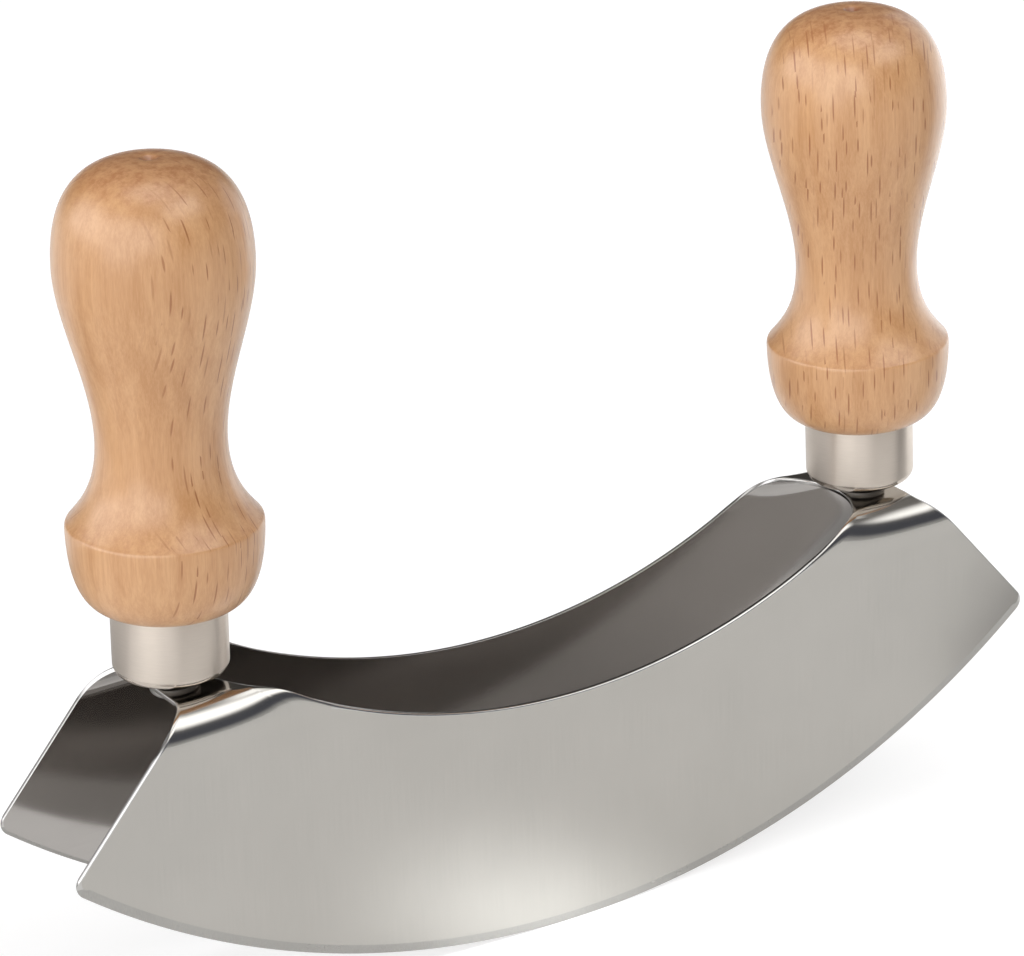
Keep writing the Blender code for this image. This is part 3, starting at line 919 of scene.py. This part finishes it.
# Each cell of a stretched Voronoi pattern holds one leaf, some longer or darker than others.
cells = wood.vector("DIVIDE", wood_place, leaf_cell)
leaves = wood.add("TexVoronoi", {"Vector": cells, "Scale": 1.0, "Randomness": 1.0})
from_leaf = wood.vector("SUBTRACT", cells, leaves["Position"])
from_leaf = wood.vector("MULTIPLY", from_leaf, leaf_cell)
chance = wood.add("SeparateColor", {"Color": leaves["Color"]})
length_share = wood.between(chance["Red"], 0.0, 1.0, 0.65, 1.3)
leaf_half_height = wood.times(length_share, leaf_half[2])
leaf_size = wood.add("CombineXYZ", {"X": leaf_half[0], "Y": leaf_half[1], "Z": leaf_half_height})
in_leaf = wood.vector("DIVIDE", from_leaf, leaf_size["Vector"])
leaf_mask = wood.between(wood.number("LENGTH", in_leaf), 1.2, 0.6)
leaf_there = wood.between(chance["Green"], 0.05, 0.6, 0.2, 1.0)
leaf_mask = wood.times(leaf_mask, leaf_there)

# A leaf shows edge-on where the surface faces along it, and hardly at all round the sides.
facing = wood.vector("NORMALIZE", wood.vector("MULTIPLY", turned, (1, 1, 0)))
along_ray = wood.maths("ABSOLUTE", wood.axes(facing)["X"])
full_strength = wood.maths("ADD", entry["Fleck Limit"], 0.4)
edge_on = wood.between(along_ray, entry["Fleck Limit"], full_strength)
wood.feed(exit_["Flecks"], wood.times(leaf_mask, edge_on))
print("beech grain nodes:", len(wood.tree.nodes))

# %% [markdown]
# Use leaves a few faint smudges and hair scratches on lacquer and on polished steel alike. They
# are one group, and only the gloss shows them.

# %% The handling marks group
wear, entry, exit_ = new_group("handling_marks", {"Place": None, "Amount": 1.0}, ("Marks",))
smudges = wear.between(wear.noise(entry["Place"], (0.07, 0.07, 0.07), 4, 0.6), 0.45, 0.8)
slanted = wear.add("VectorRotate", {"Vector": entry["Place"], "Angle": 0.5})["Vector"]
hairs = wear.between(wear.noise(slanted, (0.04, 5.0, 5.0)), 0.68, 0.78)
marks = wear.times_plus(hairs, 0.5, smudges)
wear.feed(exit_["Marks"], wear.times(marks, entry["Amount"]))
print("handling marks nodes:", len(wear.tree.nodes))

# %% [markdown]
# The two handles come from different blanks. The right one has its rays pointing at the viewer, so
# it is covered in flecks. The left one is turned further round, so its flecks lie on its right and
# its front shows plain bands. Wherever the lathe cuts across the fibres, on the crown, the
# shoulders and the flare, the open grain drinks lacquer and turns darker and more orange. A clear
# coat over the wood gives the satin gloss.

# %% Beech materials
light_beech, dark_beech = (0.670, 0.368, 0.170, 1), (0.530, 0.255, 0.095, 1)
light_end_grain, dark_end_grain = (0.60, 0.31, 0.145, 1), (0.42, 0.165, 0.06, 1)
fleck_brown, pit_brown = (0.33, 0.105, 0.02, 1), (0.24, 0.08, 0.03, 1)
lacquer = {"Coat Weight": 0.9, "Coat Roughness": 0.25, "Coat IOR": 1.55}
lacquer.update({"IOR": 1.45, "Specular IOR Level": 0.7})
ring_share, tone_share, fleck_share, end_grain_share = 0.15, 0.8, 0.85, 0.75
wood_roughness, fibre_roughness, end_grain_roughness, wood_wear = 0.42, 0.08, 0.14, 0.06
fibre_relief, fleck_relief, end_grain_relief, wood_relief = 0.5, -1.0, -1.5, 0.02 * mm
raggedness = 0.9


def beech_material(name, grain_turn, log, fleck_limit, pit_share):
    material, nodes, shader, place = new_material(name, lacquer)
    values = {"Place": place, "Grain Turn": grain_turn, "Log": log, "Fleck Limit": fleck_limit}
    grain = nodes.use(wood, values)
    tone = nodes.times_plus(grain["Rings"], ring_share, nodes.times(grain["Tone"], tone_share))
    fibres = nodes.between(grain["Fibres"], 0.3, 0.7, -0.25, 0.35)
    colour = nodes.mix(nodes.maths("ADD", tone, fibres), light_beech, dark_beech)
    colour = nodes.mix(nodes.times(grain["Flecks"], fleck_share), colour, fleck_brown)

    # The crown and the shoulders face up, so they cut across the grain, with a ragged border.
    steepness = nodes.axes(nodes.add("TexCoord", {})["Normal"])["Z"]
    speckle = nodes.noise(place, (0.5, 0.5, 0.5), 5, 0.7)
    ragged = nodes.times_plus(nodes.maths("SUBTRACT", speckle, 0.5), raggedness, steepness)
    across_grain = nodes.between(ragged, 0.5, 1.1)
    end_colour = nodes.mix(nodes.between(speckle, 0.38, 0.62), light_end_grain, dark_end_grain)
    colour = nodes.mix(nodes.times(across_grain, end_grain_share), colour, end_colour)

    # The pit in the middle of the crown is painted darker.
    crown = crown_top / mm
    from_axis = nodes.number("LENGTH", nodes.vector("MULTIPLY", place, (1, 1, 0)))
    at_crown = nodes.between(nodes.axes(place)["Z"], crown - 2, crown - 1)
    pit = nodes.times(nodes.between(from_axis, 2.0, 1.1), at_crown)
    colour = nodes.mix(nodes.times(pit, pit_share), colour, pit_brown)
    nodes.feed(shader["Base Color"], colour)

    worn = nodes.use(wear, {"Place": place, "Amount": wood_wear})["Marks"]
    gloss = nodes.times_plus(grain["Fibres"], fibre_roughness, wood_roughness)
    gloss = nodes.times_plus(across_grain, end_grain_roughness, nodes.maths("ADD", gloss, worn))
    nodes.feed(shader["Roughness"], gloss)
    fibres_height = nodes.times(grain["Fibres"], fibre_relief)
    relief = nodes.times_plus(grain["Flecks"], fleck_relief, fibres_height)
    relief = nodes.times_plus(nodes.times(speckle, across_grain), end_grain_relief, relief)
    add_bump(nodes, shader, relief, wood_relief)
    return material


beech = {
    "left": beech_material("left_beech", 1.2, 31.0, 0.45, 0.5),
    "right": beech_material("right_beech", 2.13, 7.0, 0.05, 0.8),
}
for side_name in side_signs:
    handles[side_name].data.materials.append(beech[side_name])
print("beech materials:", ", ".join(material.name for material in beech.values()))

# %% [markdown]
# ## Steel
#
# The sheet comes brushed to a satin, and the folds, the bridges and the inner faces are brighter.
# A brushed surface is fine lines that spread a reflection, so one group gives lines that vary the
# roughness and the height a little. Each finish sets how long the lines are and which way they
# run.

# %% The fine brushing group
brushing, entry, exit_ = new_group(
    "fine_brushing",
    {"Place": None, "Lines per Millimetre": (5.0, 5.0, 0.06)},
    ("Lines", "Mottling"),
)
lines_place = brushing.vector("MULTIPLY", entry["Place"], entry["Lines per Millimetre"])
brushing.feed(exit_["Lines"], brushing.noise(lines_place, (1, 1, 1), 3, 0.65))
brushing.feed(exit_["Mottling"], brushing.noise(entry["Place"], (0.05, 0.05, 0.05), 3))
print("brushing nodes:", len(brushing.tree.nodes))

# %% [markdown]
# Seven finishes of steel differ only in their numbers, so they are rows of one table: a pale and a
# dark tone, the lines per millimetre along each axis, the roughness, how much it varies, and how
# high the lines stand, in millimetres.

# %% Steel materials
def steel_material(name, pale, dark, lines, roughness, spread, relief):
    material, nodes, shader, place = new_material(name, {"Metallic": 1.0})
    brushed = nodes.use(brushing, {"Place": place, "Lines per Millimetre": lines})
    tone = nodes.times_plus(brushed["Lines"], 0.5, nodes.times(brushed["Mottling"], 0.5))
    colour = nodes.mix(nodes.between(tone, 0.3, 0.7), (*pale, 1), (*dark, 1))
    nodes.feed(shader["Base Color"], colour)
    worn = nodes.use(wear, {"Place": place, "Amount": spread})["Marks"]
    gloss = nodes.times_plus(brushed["Lines"], spread, worn)
    nodes.feed(shader["Roughness"], nodes.maths("ADD", gloss, roughness))
    add_bump(nodes, shader, brushed["Lines"], relief * mm)
    return material, nodes, shader, place


steel_table = {
    "outer": ("satin_outer_steel", (0.535, 0.517, 0.485), (0.502, 0.485, 0.455),
              (4.0, 4.0, 0.07), 0.19, 0.05, 0.001),
    "inner": ("polished_inner_steel", (0.48, 0.458, 0.44), (0.45, 0.43, 0.412),
              (0.07, 4.0, 4.0), 0.08, 0.03, 0.0001),
    "edge": ("rubbed_edge_steel", (0.64, 0.63, 0.615), (0.55, 0.54, 0.525),
             (0.6, 0.6, 0.6), 0.16, 0.06, 0.0005),
    "ground": ("ground_bevel_steel", (0.47, 0.46, 0.44), (0.40, 0.39, 0.37),
               (6.0, 6.0, 0.3), 0.2, 0.08, 0.001),
    "ferrule": ("drawn_ferrule_steel", (0.70, 0.625, 0.55), (0.655, 0.585, 0.515),
                (0.3, 0.3, 5.0), 0.33, 0.06, 0.0008),
    # The washer's tones are darker than plain steel: painted shade for the slit under the ferrule.
    "washer": ("shade_darkened_washer_steel", (0.38, 0.36, 0.34), (0.30, 0.285, 0.27),
               (1.0, 1.0, 1.0), 0.4, 0.08, 0.001),
    "screw": ("plain_screw_steel", (0.52, 0.51, 0.49), (0.44, 0.43, 0.41),
              (0.8, 0.8, 0.8), 0.35, 0.08, 0.001),
}
steel, steel_nodes = {}, {}
for finish, values in steel_table.items():
    steel[finish], *steel_nodes[finish] = steel_material(*values)
for finish in finishes:
    folded_blade.data.materials.append(steel[finish])
for pair, finish in ((ferrules, "ferrule"), (washers, "washer"), (screws, "screw")):
    for piece in pair.values():
        piece.data.materials.append(steel[finish])
print("steels:", ", ".join(material.name for material in steel.values()))

# %% [markdown]
# The ferrules were sanded on the lathe, with lines all round them. Such lines smear a reflection
# up and down and leave it sharp from side to side, so a ferrule shows upright bands. The shader
# can do that by itself: an uneven roughness, turned a quarter so that it runs up the axis. The
# sanding misses the round foot, which stays bright and shows the fold below it as a thin white
# line.

# %% Smear the ferrules' reflections upwards
foot_polish, polished_below, sanded_above = 0.12, 0.9, 2.2
nodes, shader, place = steel_nodes["ferrule"]
shader["Anisotropic"].default_value = 0.85
shader["Anisotropic Rotation"].default_value = 0.25
sanded = nodes.between(nodes.axes(place)["Z"], polished_below, sanded_above)
sanded_roughness = shader["Roughness"].links[0].from_socket
nodes.feed(shader["Roughness"], nodes.blend(sanded, foot_polish, sanded_roughness))
print("ferrule's unevenness:", round(shader["Anisotropic"].default_value, 2))

# %% [markdown]
# The outer satin stops where the sheet bends: folding under pressure burnishes the bend, and the
# bridges keep the mill's bright finish. The roughness therefore falls from the satin's to nearly a
# mirror's between 57 and 60 mm up.

# %% Polish the folds and bridges
fold_polish = 0.13
satin_top, satin_fade = fold_end_height / mm + 0.8, 3.0
nodes, shader, place = steel_nodes["outer"]
satin = nodes.between(nodes.axes(place)["Z"], satin_top, satin_top - satin_fade)
satin_roughness = shader["Roughness"].links[0].from_socket
nodes.feed(shader["Roughness"], nodes.blend(satin, fold_polish, satin_roughness))
print("satin below:", round(satin_top - satin_fade), "mm")

# %% [markdown]
# ## Floor
#
# The floor is pale and plain. To the camera it is nearly white but keeps the soft shadow, because
# a part of it is a matt surface and the rest a steady white. Metal sees more of the matt surface:
# the blades shade the ground behind them, and their inner faces are dark because they reflect it.
# Metal also sees two patches of painted shade on the floor, one in front of the right handle and
# one behind the blades on the left. They darken only the reflections. Without them, bright rims
# would show inside the right nose of the opening and along the sheet's edges.

# %% Floor
floor_half = 2.5
floor_mesh = bpy.data.meshes.new("floor")
corners = [(x * floor_half, y * floor_half, 0) for x, y in ((-1, -1), (1, -1), (1, 1), (-1, 1))]
floor_mesh.from_pydata(corners, [], [(0, 1, 2, 3)])
floor = add_object("floor", floor_mesh)
floor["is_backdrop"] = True

floor_material = bpy.data.materials.new("pale_floor")
floor_material.use_nodes = True
floor_material.node_tree.nodes.clear()
nodes = Nodes(floor_material.node_tree)

matt_tones = ((0.88, 0.88, 0.87, 1), (0.52, 0.52, 0.52, 1), (0.05, 0.05, 0.05, 1))
steady_tone = (0.62, 0.62, 0.62, 1)
metal_sees, painted_shade_share, patch_slant = 0.3, 0.65, 1.35
matt, shown_matt, painted_shade_matt = (nodes.add("BsdfDiffuse", {"Color": c})["BSDF"] for c in matt_tones)
steady_white = nodes.add("Emission", {"Color": steady_tone})["Emission"]
shown = nodes.add("AddShader", {0: shown_matt, 1: steady_white})["Shader"]
rays = nodes.add("LightPath", {})
seen = nodes.maths("MAXIMUM", rays["Is Camera Ray"], rays["Is Transmission Ray"])
seen = nodes.times_plus(rays["Is Glossy Ray"], metal_sees, seen)
surface = nodes.add("MixShader", {0: seen, 1: matt, 2: shown})["Shader"]

# Each patch of painted shade is where soft steps along the floor overlap, in millimetres
# from outside to inside.
floor_x, floor_y, _ = nodes.axes(nodes.add("TexCoord", {})["Object"])
slanted_x = nodes.times_plus(floor_y, patch_slant, floor_x)
front_shade_patch = ((slanted_x, 37, 47), (floor_y, -50, -68))
rear_shade_patch = ((floor_y, 50, 90), (floor_y, 240, 180), (floor_x, 30, -20))
patches = []
for patch in (front_shade_patch, rear_shade_patch):
    steps = [nodes.between(axis, outside * mm, inside * mm) for axis, outside, inside in patch]
    patches.append(nodes.times(*steps))
# Glossy rays see the patches as a dark matt floor: painted shade in the reflections.
painted_shade_seen = nodes.times(nodes.maths("MAXIMUM", *patches), rays["Is Glossy Ray"], painted_shade_share)
surface = nodes.add("MixShader", {0: painted_shade_seen, 1: surface, 2: painted_shade_matt})["Shader"]
nodes.add("OutputMaterial", {"Surface": surface})
floor_mesh.materials.append(floor_material)
print("floor:", 2 * floor_half, "m wide")

# %% [markdown]
# ## Studio light
#
# The folds act as curved mirrors and show the whole studio in a few millimetres: one white band
# with soft edges, and a dark blue-grey one under it. So a large softbox stands in front, halfway
# up, and the studio below it is dark. Round lamps with hard edges would show as hard edges, so
# each softbox is a patch of the sky that fades out at its border.

# %% The softbox group
softbox, entry, exit_ = new_group(
    "softbox",
    {
        "Direction": None,
        "Facing": (0.0, 0.0, 1.0),
        "Half Width": 0.3,
        "Half Height": 0.2,
        "Soft Edge": 0.1,
    },
    ("Glow",),
)
sideways = softbox.vector("CROSS_PRODUCT", entry["Facing"], (0, 0, 1))
sideways = softbox.vector("NORMALIZE", sideways)
upwards = softbox.vector("CROSS_PRODUCT", sideways, entry["Facing"])
towards = softbox.number("DOT_PRODUCT", entry["Direction"], entry["Facing"])
glow = softbox.between(towards, 0.0, 0.05)
for axis, half in ((sideways, "Half Width"), (upwards, "Half Height")):
    reach = softbox.number("DOT_PRODUCT", entry["Direction"], axis)
    reach = softbox.maths("ABSOLUTE", softbox.maths("DIVIDE", reach, towards))
    outside = softbox.maths("ADD", entry[half], entry["Soft Edge"])
    inside = softbox.maths("SUBTRACT", entry[half], entry["Soft Edge"])
    glow = softbox.times(glow, softbox.between(reach, outside, inside))
softbox.feed(exit_["Glow"], glow)
print("softbox nodes:", len(softbox.tree.nodes))

# %% [markdown]
# The second softbox stands to the left, in front of a bright wall, and both light that side of the
# handles and ferrules. A third one hangs overhead. The rest of the studio is dim: darkest behind
# the object, paler overhead and paler still along the horizon. The camera itself sees plain white.

# %% World
dim_sky, high_sky = (0.10, 0.105, 0.125, 1), (0.24, 0.23, 0.22, 1)
bright_wall, pale_horizon = (2.35, 2.35, 2.4, 1), (0.47, 0.47, 0.47, 1)
dark_behind, plain_white = (0.07, 0.066, 0.062, 1), (1, 1, 1, 1)
wall_direction = (-0.996, -0.087, 0)
softboxes = (  # degrees round and up, half width and height, soft edge, radiance
    (30, 51, 0.40, 0.24, 0.14, 2.3),
    (-66, 16, 0.34, 0.46, 0.08, 2.3),
    (0, 89, 0.32, 0.32, 0.15, 2.1),
)

world = bpy.data.worlds.new("studio")
bpy.context.scene.world = world
world.use_nodes = True
world.node_tree.nodes.clear()
nodes = Nodes(world.node_tree)
direction = nodes.add("TexCoord", {})["Generated"]
x, y, z = nodes.axes(direction)
sky = nodes.mix(nodes.between(z, 0.35, 0.75), dim_sky, high_sky)
left_wall = nodes.between(nodes.number("DOT_PRODUCT", direction, wall_direction), 0.1, 0.6)
sky = nodes.mix(nodes.times(left_wall, nodes.between(z, 0.8, 0.5)), sky, bright_wall)
sky = nodes.mix(nodes.between(z, 0.20, 0.02), sky, pale_horizon)
behind_limits = ((y, 0.1, 0.5), (x, -0.75, -0.35), (z, 0.02, 0.12))
behind = nodes.times(*(nodes.between(*limits) for limits in behind_limits))
sky = nodes.mix(behind, sky, dark_behind)
for way_round, way_up, half_width, half_height, soft_edge, radiance in softboxes:
    way_round, way_up = math.radians(way_round), math.radians(way_up)
    level = math.cos(way_up)
    facing = (math.sin(way_round) * level, -math.cos(way_round) * level, math.sin(way_up))
    values = {"Direction": direction, "Facing": facing, "Half Width": half_width}
    values.update({"Half Height": half_height, "Soft Edge": soft_edge})
    glow = nodes.use(softbox, values)["Glow"]
    sky = nodes.mix(glow, sky, (radiance, radiance, radiance, 1))
sky = nodes.mix(nodes.add("LightPath", {})["Is Camera Ray"], sky, plain_white)
background = nodes.add("Background", {"Color": sky, "Strength": 1.0})["Background"]
nodes.add("OutputWorld", {"Surface": background})
print("softboxes:", len(softboxes))

# %% [markdown]
# A small soft spot falls on the floor close in front of the blade's lowest point. The satin face
# shows it as the glow at the bottom of the photograph.

# %% Spot on the floor
def add_lamp(name, kind, energy, place, aim):
    """A lamp at a place in millimetres, turned towards another."""
    lamp_data = bpy.data.lights.new(name, kind)
    lamp_data.energy = energy
    lamp = add_object(name, lamp_data)
    place, aim = (Vector([number * mm for number in point]) for point in (place, aim))
    lamp.location = place
    lamp.rotation_euler = (place - aim).to_track_quat("Z", "Y").to_euler()
    print(name + ":", round((place - aim).length / mm), "mm from what it lights")
    return lamp_data


spot_watts, spot_place, spot_aim = 4.2, (-4, -190, 240), (-8, -24, 0)
spot = add_lamp("floor_spot", "SPOT", spot_watts, spot_place, spot_aim)
spot.color = (0.95, 0.98, 1.0)
spot.spot_size = math.radians(12)
spot.spot_blend = 1.0
spot.shadow_soft_size = 20 * mm

# %% [markdown]
# The right handle and its ferrule are lit on their right sides as well, and the left ones are not.
# A patch of sky would light both alike, so a pale card stands close by on the right, and the right
# handle shades the left one from it.

# %% Card on the right
card_watts, card_place, card_aim = 0.2, (330, 60, 160), (handle_x / mm, 0, 110)
card = add_lamp("right_card", "AREA", card_watts, card_place, card_aim)
card.shape = "RECTANGLE"
card.size, card.size_y = 260 * mm, 320 * mm

# %% [markdown]
# ## What stands for what
#
# Each finer piece stands for the solid it was made after, and that solid is hidden. Nothing moves
# on this object, so every piece rides on its one body.

# %% Ride and replace
standing_for = {"double_blade": (folded_blade, "blade_steel")}
for side_name in side_signs:
    standing_for[f"{side_name}_handle"] = (handles[side_name], "beech")
    standing_for[f"{side_name}_ferrule"] = (ferrules[side_name], "ferrule_steel")
    standing_for[f"{side_name}_washer"] = (washers[side_name], "washer_steel")
    standing_for[f"{side_name}_screw"] = (screws[side_name], "screw_steel")
for node, (piece, slot) in standing_for.items():
    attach(piece, "root")
    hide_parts(node)
bpy.context.scene.view_settings.view_transform = "Standard"
print("pieces:", len(standing_for))

# %% [markdown]
# The box round the solids and the box round the finer pieces are both printed. The finer pieces
# have to fill the same box as the solids.

# %% Sizes and finish
boxes = {
    "cad": [list(corner) for corner in cad_box],
    "visual": [list(corner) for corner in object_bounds()],
}
for name, box in boxes.items():
    print(name, "box in mm:", [[round(v / mm, 2) for v in corner] for corner in box])
